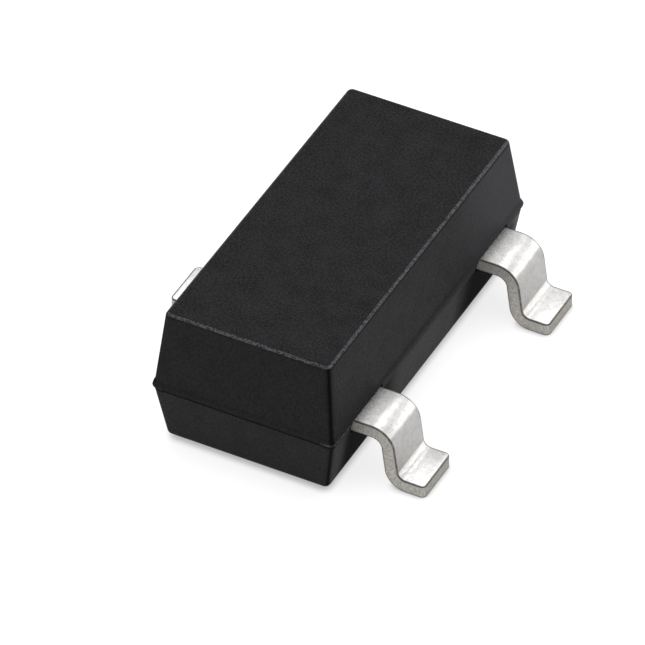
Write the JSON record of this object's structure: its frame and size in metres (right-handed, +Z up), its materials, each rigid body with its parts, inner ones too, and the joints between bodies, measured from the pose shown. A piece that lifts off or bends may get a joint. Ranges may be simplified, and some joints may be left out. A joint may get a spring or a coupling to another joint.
{
  "type": "sot-23 transistor",
  "caption": "Surface-mount small-signal transistor: black moulded body on bent tinned leads, with the lead frame, die and bond wires inside it.",
  "frame": {"origin": "on the board surface that the feet stand on, under the middle of the moulded body", "axes": "+Z up from the board, +X towards the side with the base and emitter leads, +Y along the body from the base lead to the emitter lead"},
  "size_m": [0.0024, 0.003, 0.0011],
  "materials": {
    "moulding_compound": "fine matt, as moulded",
    "tinned_strip": "matt tin plate on nickel-iron strip",
    "silicon": "polished",
    "die_bond": "dull silver-filled resin",
    "gold_wire": "bright drawn wire"
  },
  "bodies": {
    "root": {"mould_body": "moulding_compound", "collector_lead": "tinned_strip", "base_lead": "tinned_strip", "emitter_lead": "tinned_strip", "silicon_die": "silicon", "die_attach": "die_bond", "base_bond_wire": "gold_wire", "emitter_bond_wire": "gold_wire"}
  },
  "joints": []
}
